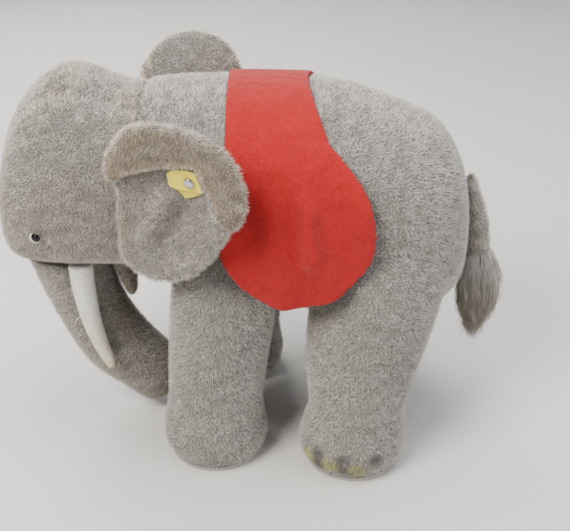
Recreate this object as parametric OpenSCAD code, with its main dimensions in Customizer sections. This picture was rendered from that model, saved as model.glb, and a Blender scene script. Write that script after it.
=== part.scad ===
/* [Cloth] */
// Thickness of the plush cloth that the skins are sewn from
cloth_t = 1.5; // [1.0:0.1:2.0]
// Gap between a skin and the stuffing inside it
stuffing_gap = 0.5; // [0.4:0.1:0.8]

/* [Torso] */
// Height of the top of the back above the ground
back_h = 160; // [156:1:164]
// Half the width of the torso at its widest
torso_half_w = 47; // [44:0.5:49]
// Distance from the origin back to the rump
rump_y = 89; // [87:0.5:90]

/* [Head] */
// Distance from the origin forward to the brow
brow_y = 108.5; // [107:0.5:110]
// Height of the crown of the head
crown_h = 166.5; // [164:0.5:168]
// Height of the rolled lower edge of the cheeks
cheek_h = 85; // [84.5:0.5:86.5]
// Half the width of the head across the cheeks
head_half_w = 37.5; // [36:0.5:39]

/* [Legs] */
// Radius of a front foot
front_foot_r = 22.5; // [21:0.5:23]
// Radius of a rear foot
rear_foot_r = 23.2; // [22:0.2:24]
// Distance of a front foot's centre from the middle plane
front_track = 33; // [32:0.5:34]
// Distance of a rear foot's centre from the middle plane
rear_track = 39; // [38:0.5:40]
// Distance that the right legs stand behind the left ones
right_leg_shift = 7; // [4:0.5:8]
// Thickness of the cloth sole under each foot
sole_t = 1.6; // [1.2:0.1:2.0]
// Thickness of the card disc that keeps each sole flat
card_t = 1.5; // [1.0:0.1:2.0]

/* [Ears] */
// Distance that the rear edge of an ear stands out from the middle plane
ear_flare = 64; // [62:0.5:66]
// Length of the right ear, front to back, as a share of the left ear's
right_ear_share = 0.86; // [0.8:0.02:1]
// Distance that the right ear sits lower than the left
right_ear_drop = 2.5; // [0:0.5:3]
// Thickness of each of an ear's two cloth panels
ear_cloth_t = 1.4; // [1.0:0.1:1.5]

/* [Blanket] */
// Thickness of the felt blanket
felt_t = 1.5; // [1.0:0.1:1.8]
// Height of the hem of each flap above the ground
hem_h = 86; // [85:0.5:89]

/* [Trim] */
// Diameter of the glass eyes
eye_d = 4; // [3.4:0.1:4.6]
// Diameter of the stud's cap in the left ear
stud_d = 4.6; // [4:0.1:5.4]

/* [Hidden] */
$fn = 32;

plush_grey = "#a39d97";
plush_shade = "#8f8a86";
felt_red = "#d9433c";
felt_white = "#eeeae2";
wood_wool = "#d9b878";
card_brown = "#a98558";

// ---- smooth curves and lofts -------------------------------------------------

// A smooth value at parameter t through the rows of a list of stations
function smooth(rows, t) =
    let (last = len(rows) - 1, i = min(max(floor(t), 0), last - 1), u = t - i)
    let (a = rows[max(i - 1, 0)], b = rows[i], c = rows[i + 1], d = rows[min(i + 2, last)])
    0.5 * (2 * b + (c - a) * u + (2 * a - 5 * b + 4 * c - d) * u * u
        + (3 * b - a - 3 * c + d) * u * u * u);
function resample(rows, steps) = [for (k = [0:steps]) smooth(rows, k * (len(rows) - 1) / steps)];
function power(v, e) = sign(v) * pow(abs(v), e);
function flat(lists) = [for (l = lists) each l];

// The outward direction at a point of a grid of points
function direction(grid, i, j, closed) =
    let (rows = len(grid), cols = len(grid[0]))
    let (up = grid[min(i + 1, rows - 1)][j] - grid[max(i - 1, 0)][j])
    let (right = closed ? (j + 1) % cols : min(j + 1, cols - 1))
    let (left = closed ? (j + cols - 1) % cols : max(j - 1, 0))
    let (n = cross(grid[i][right] - grid[i][left], up))
    n / max(norm(n), 1e-9);
// The same grid moved outward by d. An end row stays in its own plane, across the axis given.
function offset_grid(grid, d, closed, first_axis = [0, 0, 0], last_axis = [0, 0, 0]) = [
    for (i = [0:len(grid) - 1]) [
        for (j = [0:len(grid[0]) - 1])
            let (n = direction(grid, i, j, closed))
            let (axis = i == 0 ? first_axis : i == len(grid) - 1 ? last_axis : [0, 0, 0])
            let (m = n - (n * axis) * axis)
            grid[i][j] + d * m / max(norm(m), 1e-9)
    ]
];

function side_faces(rows, cols, closed, start, turned) = flat([
    for (i = [0:rows - 2], j = [0:cols - (closed ? 1 : 2)])
        let (k = (j + 1) % cols)
        let (a = start + i * cols + j, b = start + i * cols + k)
        let (c = start + (i + 1) * cols + k, d = start + (i + 1) * cols + j)
        turned ? [[a, b, c], [a, c, d]] : [[a, c, b], [a, d, c]]
]);
function strip_faces(one, two) = flat([
    for (k = [0:len(one) - 2])
        [[one[k], one[k + 1], two[k]], [one[k + 1], two[k + 1], two[k]]]
]);

// A closed solid through a grid of closed rings
module loft(grid) {
    rows = len(grid);
    cols = len(grid[0]);
    first_cap = [for (k = [1:cols - 2]) [0, k, k + 1]];
    top = (rows - 1) * cols;
    last_cap = [for (k = [1:cols - 2]) [top, top + k + 1, top + k]];
    polyhedron(flat(grid), concat(side_faces(rows, cols, true, 0, false), first_cap, last_cap));
}

// A wall of cloth between an outer grid and an inner grid of the same size
module wall(outer, inner, closed) {
    rows = len(outer);
    cols = len(outer[0]);
    half = rows * cols;
    ends = closed ? [for (j = [0:cols]) j % cols] : [for (j = [0:cols - 1]) j];
    top = (rows - 1) * cols;
    first = strip_faces(ends, [for (j = ends) half + j]);
    last = strip_faces([for (j = ends) half + top + j], [for (j = ends) top + j]);
    near = [for (i = [0:rows - 1]) i * cols];
    far = [for (i = [0:rows - 1]) i * cols + cols - 1];
    sides = closed ? [] : concat(
        strip_faces([for (i = near) half + i], near),
        strip_faces(far, [for (i = far) half + i]));
    polyhedron(
        concat(flat(outer), flat(inner)),
        concat(
            side_faces(rows, cols, closed, 0, false),
            side_faces(rows, cols, closed, half, true),
            first, last, sides));
}

// The columns of a grid from the first to the last, wrapping past its end
function columns(grid, first, last) =
    [for (row = grid) [for (j = [first:last]) row[j % len(row)]]];

// ---- torso and head ------------------------------------------------------------

// Stations: distance back, top, bottom, half width, height of the widest point
neck = [-46, back_h - 2, 83.5, head_half_w - 0.5, 121];
torso_stations = [
    neck,
    [-36, back_h - 0.5, 77, torso_half_w - 6, 117],
    [-16, back_h, 71, torso_half_w - 1.5, 114],
    [8, back_h, 69, torso_half_w, 112],
    [32, back_h - 1.5, 68, torso_half_w, 111],
    [50, back_h - 7.5, 64, torso_half_w - 0.5, 109],
    [64, back_h - 12.5, 62, torso_half_w - 3, 107],
    [75, back_h - 18, 63, torso_half_w - 7.5, 104],
    [82.5, back_h - 27, 67, torso_half_w - 14, 101],
    [rump_y - 2, back_h - 38, 74, torso_half_w - 23, 98],
    [rump_y - 0.4, back_h - 52, 84, torso_half_w - 35, 96],
    [rump_y, back_h - 63, 93, 1, 95]
];
head_stations = [
    [-brow_y, 105, 103, 1, 104],
    [-brow_y + 0.6, 113, 96, 9.5, 105],
    [-brow_y + 2.3, 123, 90, 17, 106.5],
    [-brow_y + 5.5, 136.5, cheek_h + 1.7, 24, 109],
    [-brow_y + 10.5, 148, cheek_h + 0.4, 29.5, 112],
    [-brow_y + 17.5, 158, cheek_h, 33.5, 115],
    [-brow_y + 25.5, 164, cheek_h, head_half_w - 1.5, 117],
    [-brow_y + 34, crown_h, cheek_h, head_half_w, 118],
    [-brow_y + 43, crown_h - 2.5, cheek_h, head_half_w, 118.5],
    [-brow_y + 52, crown_h - 7, cheek_h - 0.5, head_half_w - 0.3, 119.5],
    neck
];
torso_cols = 32;
torso_round = 0.92;
jowl_round = 0.62;

// A ring of the torso or the head. Angle 0 is the spine and 90 is the left side.
function ring(s, cols, low_round) = [
    for (k = [0:cols - 1])
        let (a = 360 * k / cols)
        let (round = cos(a) < 0 ? low_round : torso_round)
        [
            s[3] * power(sin(a), torso_round),
            s[0],
            s[4] + (cos(a) < 0 ? s[4] - s[2] : s[1] - s[4]) * power(cos(a), round)
        ]
];
function rings(stations, steps, cols, low_round) =
    [for (s = resample(stations, steps)) ring(s, cols, low_round)];

torso_grid = rings(torso_stations, 15, torso_cols, torso_round);
torso_inner = offset_grid(torso_grid, -cloth_t, true, first_axis = [0, 1, 0]);
head_grid = rings(head_stations, 15, torso_cols, jowl_round);
head_inner = offset_grid(head_grid, -cloth_t, true, last_axis = [0, 1, 0]);

// The height of the torso's underside at a place in plan, for the tops of the legs
torso_table = resample(torso_stations, 40);
function torso_at(y, column) = lookup(y, [for (s = torso_table) [s[0], s[column]]]);
function underside(x, y) =
    let (share = min(abs(x) / torso_at(y, 3), 0.995))
    let (mid = torso_at(y, 4))
    mid - (mid - torso_at(y, 2)) * pow(1 - pow(share, 2 / torso_round), torso_round / 2);

// The side panels run from the spine to the edges of the gusset under the belly
gusset_col = 13;
module torso_panel(first, last) {
    wall(columns(torso_grid, first, last), columns(torso_inner, first, last), false);
}
module torso_left_side() {
    color(plush_grey) torso_panel(0, gusset_col);
}
module torso_right_side() {
    color(plush_grey) torso_panel(torso_cols - gusset_col, torso_cols);
}
module belly_gusset() {
    color(plush_shade) torso_panel(gusset_col, torso_cols - gusset_col);
}
module torso_stuffing() {
    core = rings(torso_stations, 9, 16, torso_round);
    color(wood_wool) loft(offset_grid(core, -cloth_t - stuffing_gap, true, first_axis = [0, 1, 0]));
}

// The head gusset is the strip over the brow and crown. The side panels meet under the throat.
crown_col = 3;
module head_panel(first, last) {
    wall(columns(head_grid, first, last), columns(head_inner, first, last), false);
}
module head_left_side() {
    color(plush_grey) head_panel(crown_col, torso_cols / 2);
}
module head_right_side() {
    color(plush_grey) head_panel(torso_cols / 2, torso_cols - crown_col);
}
module head_gusset() {
    color(plush_shade) head_panel(torso_cols - crown_col, torso_cols + crown_col);
}
module head_stuffing() {
    core = rings(head_stations, 9, 16, jowl_round);
    color(wood_wool) loft(offset_grid(core, -cloth_t - stuffing_gap, true, last_axis = [0, 1, 0]));
}

// A ring between a front point and a back point, given as rows of
// front y, front z, back y, back z and half width. Turn is 1 or -1, for the way the faces point.
function ladder_ring(s, cols, turn) =
    let (front = [0, s[0], s[1]], back = [0, s[2], s[3]])
    let (middle = (front + back) / 2, arm = (front - back) / 2)
    [for (k = [0:cols - 1])
        let (a = 360 * k / cols)
        middle + cos(a) * arm + [turn * s[4] * sin(a), 0, 0]];
function ladder(stations, steps, cols, turn) =
    [for (s = resample(stations, steps)) ladder_ring(s, cols, turn)];

// Places a child with its Z axis along a direction
module along(place, n) {
    translate(place) rotate([0, acos(n.z), atan2(n.y, n.x)]) children();
}

// ---- trunk, lip and tusks --------------------------------------------------------

root_h = cheek_h - 0.7;
trunk_stations = [
    [-101.5, root_h, -67.5, root_h, 18.5],
    [-95.5, 63, -64.5, 66, 17],
    [-89.5, 48, -60, 54, 16.5],
    [-84, 34.5, -55, 45.5, 16],
    [-77.5, 24, -49, 37.5, 15.5],
    [-67.5, 16, -42.5, 30.5, 14.5],
    [-58.5, 8, -37.5, 22.5, 13],
    [-52, 3.5, -37, 15.5, 9.5],
    [-46.5, 5.5, -42, 8.5, 2.5]
];
trunk_cols = 20;
trunk_grid = ladder(trunk_stations, 11, trunk_cols, -1);
trunk_inner = offset_grid(trunk_grid, -cloth_t, true, first_axis = [0, 0, 1]);
module trunk_side(first, last) {
    wall(columns(trunk_grid, first, last), columns(trunk_inner, first, last), false);
}
module trunk_left_side() {
    color(plush_grey) trunk_side(trunk_cols / 2, trunk_cols);
}
module trunk_right_side() {
    color(plush_grey) trunk_side(0, trunk_cols / 2);
}
module trunk_stuffing() {
    core = ladder(trunk_stations, 8, 12, -1);
    color(wood_wool) loft(offset_grid(core, -cloth_t - stuffing_gap, true, first_axis = [0, 0, 1]));
}
lip_stations = [
    [-66, root_h - 0.4, -56, root_h - 0.4, 9.5],
    [-64, 77, -55.5, 76, 8.5],
    [-61.2, 67, -55, 66, 6.5],
    [-58.6, 60.5, -56, 60, 2.5]
];
module lower_lip() {
    color(plush_shade) loft(ladder(lip_stations, 5, 14, -1));
}

// A tusk is a felt tube with a stuffed core, standing clear of the trunk's side
tusk_x = 22;
tusk_stations = [
    [-80, root_h, -69.5, root_h, 5],
    [-79.2, 74, -69.3, 75, 4.8],
    [-77, 60, -68.5, 61.5, 4.3],
    [-73, 46.5, -66.4, 48.5, 3.5],
    [-68, 35.5, -63.8, 37.5, 2.3],
    [-65.6, 33, -64.6, 33.6, 0.5]
];
tusk_cloth_t = 1;
tusk_grid = ladder(tusk_stations, 8, 14, -1);
tusk_inner = offset_grid(tusk_grid, -tusk_cloth_t, true, first_axis = [0, 0, 1]);
module tusk() {
    color(felt_white) translate([tusk_x, 0, 0])
        wall([for (i = [0:7]) tusk_grid[i]], [for (i = [0:7]) tusk_inner[i]], true);
}
module tusk_core() {
    core = ladder(tusk_stations, 6, 10, -1);
    inner = offset_grid(core, -tusk_cloth_t - 0.3, true, first_axis = [0, 0, 1]);
    color(wood_wool) translate([tusk_x, 0, 0]) loft([for (i = [0:4]) inner[i]]);
}
module tusk_left() {
    tusk();
}
module tusk_right() {
    mirror([1, 0, 0]) tusk();
}
module tusk_left_stuffing() {
    tusk_core();
}
module tusk_right_stuffing() {
    mirror([1, 0, 0]) tusk_core();
}

// ---- legs ------------------------------------------------------------------------

// Stations: share of the way up, centre x and y, half width, half depth
front_leg = [
    [0, front_track, -19, front_foot_r - 3, front_foot_r - 3],
    [0.045, front_track, -19, front_foot_r - 0.7, front_foot_r - 0.7],
    [0.12, front_track, -19, front_foot_r, front_foot_r],
    [0.2, front_track - 0.3, -18.9, front_foot_r - 0.9, front_foot_r - 0.9],
    [0.29, front_track - 0.6, -18.7, front_foot_r - 2.3, front_foot_r - 2.5],
    [0.42, front_track - 1, -18, front_foot_r - 2.2, front_foot_r - 2.5],
    [0.63, front_track - 2.2, -16.5, front_foot_r - 1.8, front_foot_r - 1.7],
    [0.84, front_track - 3.6, -14.6, front_foot_r - 2.5, front_foot_r - 1],
    [1, front_track - 5, -13, front_foot_r - 5.5, front_foot_r - 1.2]
];
rear_leg = [
    [0, rear_track, 41.7, rear_foot_r - 3, rear_foot_r - 3],
    [0.045, rear_track, 41.7, rear_foot_r - 0.7, rear_foot_r - 0.7],
    [0.12, rear_track, 41.8, rear_foot_r, rear_foot_r],
    [0.22, rear_track - 0.5, 42.2, rear_foot_r - 1.6, rear_foot_r - 1.8],
    [0.34, rear_track - 1, 44, rear_foot_r - 2.6, rear_foot_r - 2.8],
    [0.5, rear_track - 2, 44.8, rear_foot_r - 2.4, rear_foot_r - 0.4],
    [0.68, rear_track - 3.5, 46.6, rear_foot_r - 2.2, rear_foot_r + 2],
    [0.85, rear_track - 5.2, 48.8, rear_foot_r - 3.6, rear_foot_r + 3.6],
    [1, rear_track - 7, 50.5, rear_foot_r - 7, rear_foot_r + 4.2]
];
leg_gap = 0.5;
core_gap = 1.6;
// A point on the top of a leg, at a share of its radius, just under the torso
function leg_top(top, a, inset, share, gap) =
    let (x = top[1] + (top[3] - inset) * share * cos(a), y = top[2] + (top[4] - inset) * share * sin(a))
    [x, y, underside(x, y) - gap];
// Each column of a leg climbs from the foot to just under the torso
function leg_grid(stations, steps, cols, inset, bottom, gap) = [
    let (top = stations[len(stations) - 1])
    for (s = resample(stations, steps)) [
        for (k = [0:cols - 1])
            let (a = 360 * k / cols)
            [
                s[1] + (s[3] - inset) * cos(a),
                s[2] + (s[4] - inset) * sin(a),
                bottom + s[0] * (leg_top(top, a, inset, 1, gap).z - bottom)
            ]
    ]
];
// The hollow top of a leg's stuffing, which follows the underside of the torso
function leg_top_grid(top, cols, inset, gap) = [
    for (share = [0.8, 0.6, 0.4, 0.2, 0.02]) [
        for (k = [0:cols - 1]) leg_top(top, 360 * k / cols, inset, share, gap)
    ]
];
leg_cols = 20;
module leg(stations) {
    color(plush_grey) wall(
        leg_grid(stations, 10, leg_cols, 0, sole_t, leg_gap),
        leg_grid(stations, 10, leg_cols, cloth_t, sole_t, leg_gap), true);
}
module leg_core(stations) {
    inset = cloth_t + stuffing_gap;
    cols = 14;
    color(wood_wool) loft(concat(
        leg_grid(stations, 6, cols, inset, sole_t + card_t + 0.2, core_gap),
        leg_top_grid(stations[len(stations) - 1], cols, inset, core_gap)));
}
module card(x, y, r) {
    color(card_brown) translate([x, y, sole_t]) cylinder(h = card_t, r = r - cloth_t - 0.4);
}
module sole(x, y, r) {
    color(plush_shade) translate([x, y, 0]) cylinder(h = sole_t, r = r);
}
// The stations of a leg moved back
function moved_back(stations, d) = [for (s = stations) [s[0], s[1], s[2] + d, s[3], s[4]]];
right_front_leg = moved_back(front_leg, right_leg_shift);
right_rear_leg = moved_back(rear_leg, right_leg_shift * 0.85);
module front_leg_left() {
    leg(front_leg);
}
module front_leg_right() {
    mirror([1, 0, 0]) leg(right_front_leg);
}
module rear_leg_left() {
    leg(rear_leg);
}
module rear_leg_right() {
    mirror([1, 0, 0]) leg(right_rear_leg);
}
module front_leg_left_stuffing() {
    leg_core(front_leg);
}
module front_leg_right_stuffing() {
    mirror([1, 0, 0]) leg_core(right_front_leg);
}
module rear_leg_left_stuffing() {
    leg_core(rear_leg);
}
module rear_leg_right_stuffing() {
    mirror([1, 0, 0]) leg_core(right_rear_leg);
}
front_sole_r = front_foot_r - 3;
rear_sole_r = rear_foot_r - 3;
module front_card_left() {
    card(front_track, front_leg[0][2], front_sole_r);
}
module front_card_right() {
    card(-front_track, right_front_leg[0][2], front_sole_r);
}
module rear_card_left() {
    card(rear_track, rear_leg[0][2], rear_sole_r);
}
module rear_card_right() {
    card(-rear_track, right_rear_leg[0][2], rear_sole_r);
}
module front_sole_left() {
    sole(front_track, front_leg[0][2], front_sole_r);
}
module front_sole_right() {
    sole(-front_track, right_front_leg[0][2], front_sole_r);
}
module rear_sole_left() {
    sole(rear_track, rear_leg[0][2], rear_sole_r);
}
module rear_sole_right() {
    sole(-rear_track, right_rear_leg[0][2], rear_sole_r);
}

// ---- ears --------------------------------------------------------------------------

// Stations: y, top z, bottom z, then x at the top, the middle and the bottom
ear_root_x = 40.5;
flare = (ear_flare - ear_root_x) / 24;
function ear_x(x) = ear_root_x + (x - ear_root_x) * flare;
ear_stations = [
    [-52, 143, 104, ear_x(43), ear_x(40.5), ear_x(42)],
    [-47.5, 157.5, 98.5, ear_x(52), ear_x(42.5), ear_x(45)],
    [-39, 163, 97, ear_x(59), ear_x(45), ear_x(50)],
    [-30, 163.7, 99, ear_x(63), ear_x(48), ear_x(54.5)],
    [-21, 161.5, 105, ear_x(65), ear_x(52), ear_x(58.5)],
    [-13, 156.5, 116.5, ear_x(65.5), ear_x(57.5), ear_x(61)],
    [-7, 149.5, 128.5, ear_x(65), ear_x(62), ear_x(63)],
    [-4.5, 143.5, 135, ear_x(64.5), ear_x(64), ear_x(64)]
];
// The dished middle surface of an ear at station t and share v of the way down
function ear_at(t, v) =
    let (s = smooth(ear_stations, t))
    let (x = s[3] * (1 - v) * (1 - 2 * v) + s[4] * 4 * v * (1 - v) + s[5] * v * (2 * v - 1))
    [x, s[0], s[1] + (s[2] - s[1]) * v];
ear_rows = 11;
ear_cols = 11;
ear_seam_gap = 0.2;
ear_hinge_y = -52.5;
// The right ear curls tighter, so it is shorter front to back, and it sits lower
function ear_middle(length_share, drop) = [
    for (i = [0:ear_rows]) [
        for (j = [0:ear_cols])
            let (p = ear_at(i * 7 / ear_rows, j / ear_cols))
            [p.x, ear_hinge_y + (p.y - ear_hinge_y) * length_share, p.z - drop]
    ]
];
left_ear_middle = ear_middle(1, 0);
right_ear_middle = ear_middle(right_ear_share, right_ear_drop);
module ear_front(middle) {
    color(plush_shade) wall(
        offset_grid(middle, ear_seam_gap / 2 + ear_cloth_t, false),
        offset_grid(middle, ear_seam_gap / 2, false), false);
}
module ear_back(middle) {
    color(plush_grey) wall(
        offset_grid(middle, -ear_seam_gap / 2, false),
        offset_grid(middle, -ear_seam_gap / 2 - ear_cloth_t, false), false);
}
module ear_left_front_panel() {
    ear_front(left_ear_middle);
}
module ear_left_back_panel() {
    ear_back(left_ear_middle);
}
module ear_right_front_panel() {
    mirror([1, 0, 0]) ear_front(right_ear_middle);
}
module ear_right_back_panel() {
    mirror([1, 0, 0]) ear_back(right_ear_middle);
}

// The stud clamps a folded cloth tag to the front of the left ear
stud_t = 3.9;
stud_v = 0.36;
stud_at = ear_at(stud_t, stud_v);
stud_across = ear_at(stud_t, stud_v + 0.02) - ear_at(stud_t, stud_v - 0.02);
stud_along = ear_at(stud_t + 0.05, stud_v) - ear_at(stud_t - 0.05, stud_v);
stud_normal = cross(stud_across, stud_along) / norm(cross(stud_across, stud_along));
ear_face = ear_seam_gap / 2 + ear_cloth_t;
tag_standoff = 1.3;
tag_t = 0.8;
cap_base = ear_face + tag_standoff + tag_t + 0.2;
shank_d = 1.2;
washer_t = 0.5;
module stud_place() {
    along(stud_at, stud_normal) children();
}
module ear_stud() {
    color("silver") stud_place() {
        rotate_extrude() polygon(concat(
            [[0, cap_base], [stud_d / 2, cap_base]],
            [for (a = [0:15:90]) [stud_d / 2 * cos(a), cap_base + 0.4 + 0.9 * sin(a)]]));
        translate([0, 0, -ear_face - washer_t]) cylinder(h = cap_base + ear_face + washer_t, d = shank_d);
    }
}
module ear_stud_washer() {
    color("silver") stud_place() translate([0, 0, -ear_face - washer_t - 0.1]) difference() {
        cylinder(h = washer_t, d = stud_d - 0.4);
        translate([0, 0, -1]) cylinder(h = washer_t + 2, d = shank_d + 0.1);
    }
}
tag_l = 13;
tag_w = 9.5;
tag_hole_from_end = 4.6;
tag_lean = 12;
module ear_tag() {
    color("gold") stud_place() translate([0, 0, ear_face + tag_standoff]) rotate([0, 0, tag_lean])
        difference() {
            translate([-tag_w / 2, tag_hole_from_end - tag_l, 0]) cube([tag_w, tag_l, tag_t]);
            translate([0, 0, -1]) cylinder(h = tag_t + 2, d = shank_d + 0.5);
        }
}

// ---- eyes --------------------------------------------------------------------------

eye_t = 5.4;
eye_angle = 98;
function head_at(t, a) =
    let (s = smooth(head_stations, t))
    let (round = cos(a) < 0 ? jowl_round : torso_round)
    [
        s[3] * power(sin(a), torso_round),
        s[0],
        s[4] + (cos(a) < 0 ? s[4] - s[2] : s[1] - s[4]) * power(cos(a), round)
    ];
eye_at = head_at(eye_t, eye_angle);
eye_across = head_at(eye_t, eye_angle + 3) - head_at(eye_t, eye_angle - 3);
eye_along = head_at(eye_t + 0.1, eye_angle) - head_at(eye_t - 0.1, eye_angle);
eye_normal = cross(eye_across, eye_along) / norm(cross(eye_across, eye_along));
eye_disc_d = eye_d + 2;
eye_disc_t = 0.7;
eye_disc_base = 0.25;
eye_wire_d = 0.8;
eye_wire_l = 7;
module eye_place() {
    along(eye_at, eye_normal) children();
}
module eye_disc() {
    color(felt_white) eye_place() translate([0, 0, eye_disc_base]) difference() {
        cylinder(h = eye_disc_t, d = eye_disc_d);
        translate([0, 0, -1]) cylinder(h = eye_disc_t + 2, d = eye_wire_d + 0.3);
    }
}
module eye_glass() {
    base = eye_disc_base + eye_disc_t + 0.1;
    color("black") eye_place() rotate_extrude() polygon(concat(
        [[0, base]],
        [for (a = [0:15:90]) [eye_d / 2 * cos(a), base + 0.3 + 1.3 * sin(a)]]));
}
module eye_shank() {
    top = eye_disc_base + eye_disc_t + 0.05;
    color("dimgray") eye_place() translate([0, 0, top - eye_wire_l]) cylinder(h = eye_wire_l, d = eye_wire_d);
}
module eye_left_disc() {
    eye_disc();
}
module eye_right_disc() {
    mirror([1, 0, 0]) eye_disc();
}
module eye_left() {
    eye_glass();
}
module eye_right() {
    mirror([1, 0, 0]) eye_glass();
}
module eye_left_shank() {
    eye_shank();
}
module eye_right_shank() {
    mirror([1, 0, 0]) eye_shank();
}

// ---- tail --------------------------------------------------------------------------

tail_root_y = rump_y - 0.7;
tail_stations = [
    [tail_root_y + 4.2, 119.5, tail_root_y, 113.5, 3.4],
    [tail_root_y + 6.9, 112, tail_root_y + 1.1, 108, 4.2],
    [tail_root_y + 10.2, 103.5, tail_root_y + 1.9, 101, 4.7],
    [tail_root_y + 12.4, 95.5, tail_root_y + 2.8, 94, 5],
    [tail_root_y + 13.5, 88.5, tail_root_y + 3.7, 88, 5],
    [tail_root_y + 13.3, 82, tail_root_y + 4.3, 82, 4.6]
];
tail_grid = ladder(tail_stations, 9, 16, 1);
tail_inner = offset_grid(tail_grid, -1.2, true, last_axis = [0, 0, 1]);
module tail_skin() {
    color(plush_grey) wall(tail_grid, tail_inner, true);
}
module tail_cord() {
    core = ladder(tail_stations, 6, 10, 1);
    color(wood_wool) loft(offset_grid(core, -1.8, true, last_axis = [0, 0, 1]));
}
tuft_stations = [
    [tail_root_y + 9.8, 81.3, tail_root_y + 7.8, 81.3, 1],
    [tail_root_y + 13.2, 79, tail_root_y + 4.4, 79, 4.6],
    [tail_root_y + 17, 74, tail_root_y + 1, 74, 8],
    [tail_root_y + 19.3, 66, tail_root_y - 1.6, 66, 10],
    [tail_root_y + 20.2, 56, tail_root_y - 2.4, 56, 10.5],
    [tail_root_y + 18.5, 46.5, tail_root_y - 1.4, 46.5, 9],
    [tail_root_y + 14.5, 39, tail_root_y + 1.5, 39, 5.5],
    [tail_root_y + 9, 35.5, tail_root_y + 5, 35.5, 1.5]
];
module tail_tuft() {
    color("#8a8076") loft(ladder(tuft_stations, 14, 16, 1));
}

// ---- blanket -----------------------------------------------------------------------

strap_front = -11.2;
strap_back = 21.6;
strap_back_low = 29.3;
strap_angle = 46;
blanket_gap = 0.45;
function torso_point(y, a) = [
    torso_at(y, 3) * power(sin(a), torso_round),
    y,
    torso_at(y, 4) + (torso_at(y, 1) - torso_at(y, 4)) * power(cos(a), torso_round)
];
strap_grid = [
    for (i = [0:6]) [
        for (j = [-8:8])
            let (share = abs(j) / 8)
            let (back = strap_back + (strap_back_low - strap_back) * pow(share, 1.6))
            torso_point(strap_front + (back - strap_front) * i / 6, strap_angle * j / 8)
    ]
];
module blanket_strap() {
    color(felt_red) wall(
        offset_grid(strap_grid, blanket_gap + felt_t, false),
        offset_grid(strap_grid, blanket_gap, false), false);
}
// Stations down a flap: x and z of the middle of the felt, front y, back y
flap_stations = [
    [36.5, 146.3, strap_front, strap_back_low + 0.6],
    [41.8, 139.9, -11.6, 36.6],
    [46.4, 130.5, -13, 43.8],
    [49.3, 120, -14.7, 46.8],
    [50.9, 110, -14.4, 46.9],
    [52.4, hem_h + 14.5, -10, 43],
    [53.8, hem_h + 6.5, -3, 35.6],
    [54.5, hem_h + 2.2, 4, 27.5],
    [54.9, hem_h, 11.5, 20]
];
flap_middle = [
    for (i = [0:8]) [
        for (s = resample(flap_stations, 14)) [s[0], s[2] + (s[3] - s[2]) * i / 8, s[1]]
    ]
];
module flap() {
    color(felt_red) wall(
        offset_grid(flap_middle, felt_t / 2, false),
        offset_grid(flap_middle, -felt_t / 2, false), false);
}
module blanket_left_flap() {
    flap();
}
module blanket_right_flap() {
    mirror([1, 0, 0]) flap();
}

torso_left_side();
torso_right_side();
belly_gusset();
torso_stuffing();
head_left_side();
head_right_side();
head_gusset();
head_stuffing();
trunk_left_side();
trunk_right_side();
trunk_stuffing();
lower_lip();
tusk_left();
tusk_right();
tusk_left_stuffing();
tusk_right_stuffing();
front_leg_left();
front_leg_right();
rear_leg_left();
rear_leg_right();
front_leg_left_stuffing();
front_leg_right_stuffing();
rear_leg_left_stuffing();
rear_leg_right_stuffing();
front_card_left();
front_card_right();
rear_card_left();
rear_card_right();
front_sole_left();
front_sole_right();
rear_sole_left();
rear_sole_right();
ear_left_front_panel();
ear_left_back_panel();
ear_right_front_panel();
ear_right_back_panel();
ear_stud();
ear_stud_washer();
ear_tag();
eye_left_disc();
eye_right_disc();
eye_left();
eye_right();
eye_left_shank();
eye_right_shank();
tail_skin();
tail_cord();
tail_tuft();
blanket_strap();
blanket_left_flap();
blanket_right_flap();
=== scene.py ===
# %% [markdown]
# # A plush elephant with a felt saddle blanket
# The model made in CAD is the fixed frame: its bodies, sizes and joints are settled. Everything
# here gives that frame its looks, so the first step loads it. The finished pieces may stand
# proud of that box by a pile's depth and no more.

# %% Load the frame
import math

import bmesh
import bpy
import numpy as np
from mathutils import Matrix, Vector
from mathutils.bvhtree import BVHTree
from mathutils.kdtree import KDTree


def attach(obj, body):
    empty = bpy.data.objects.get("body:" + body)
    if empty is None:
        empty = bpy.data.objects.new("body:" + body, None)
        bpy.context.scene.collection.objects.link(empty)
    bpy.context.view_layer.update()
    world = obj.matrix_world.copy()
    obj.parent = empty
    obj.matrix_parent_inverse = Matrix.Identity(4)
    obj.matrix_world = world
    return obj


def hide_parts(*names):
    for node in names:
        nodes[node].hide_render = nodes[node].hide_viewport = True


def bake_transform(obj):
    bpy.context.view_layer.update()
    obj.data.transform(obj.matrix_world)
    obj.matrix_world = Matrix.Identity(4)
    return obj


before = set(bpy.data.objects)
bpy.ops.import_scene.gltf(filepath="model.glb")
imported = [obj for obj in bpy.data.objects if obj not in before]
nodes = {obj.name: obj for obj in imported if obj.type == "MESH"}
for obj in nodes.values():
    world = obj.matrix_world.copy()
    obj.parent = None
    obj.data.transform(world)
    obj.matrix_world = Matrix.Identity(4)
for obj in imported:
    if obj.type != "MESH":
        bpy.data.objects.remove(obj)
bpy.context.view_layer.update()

MM = 0.001
SEED = 7

# %% [markdown]
# ## Where the camera stands
# A small toy on a table is seen from its left side and from above, at about arm's length. A long
# lens close to the toy keeps the near feet a little larger than the far ones. The camera comes
# first, so that each later piece can be judged from the place it is seen from.

# %% Camera
def add_camera(place, down, lens):
    camera = bpy.data.objects.new("camera", bpy.data.cameras.new("camera"))
    bpy.context.scene.collection.objects.link(camera)
    camera.location = place
    camera.rotation_euler = (math.radians(90 - down), 0, math.radians(90))
    camera.data.lens = lens
    camera.data.sensor_width = 36
    camera.data.clip_start = 0.01
    bpy.context.scene.camera = camera
    return camera


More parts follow.
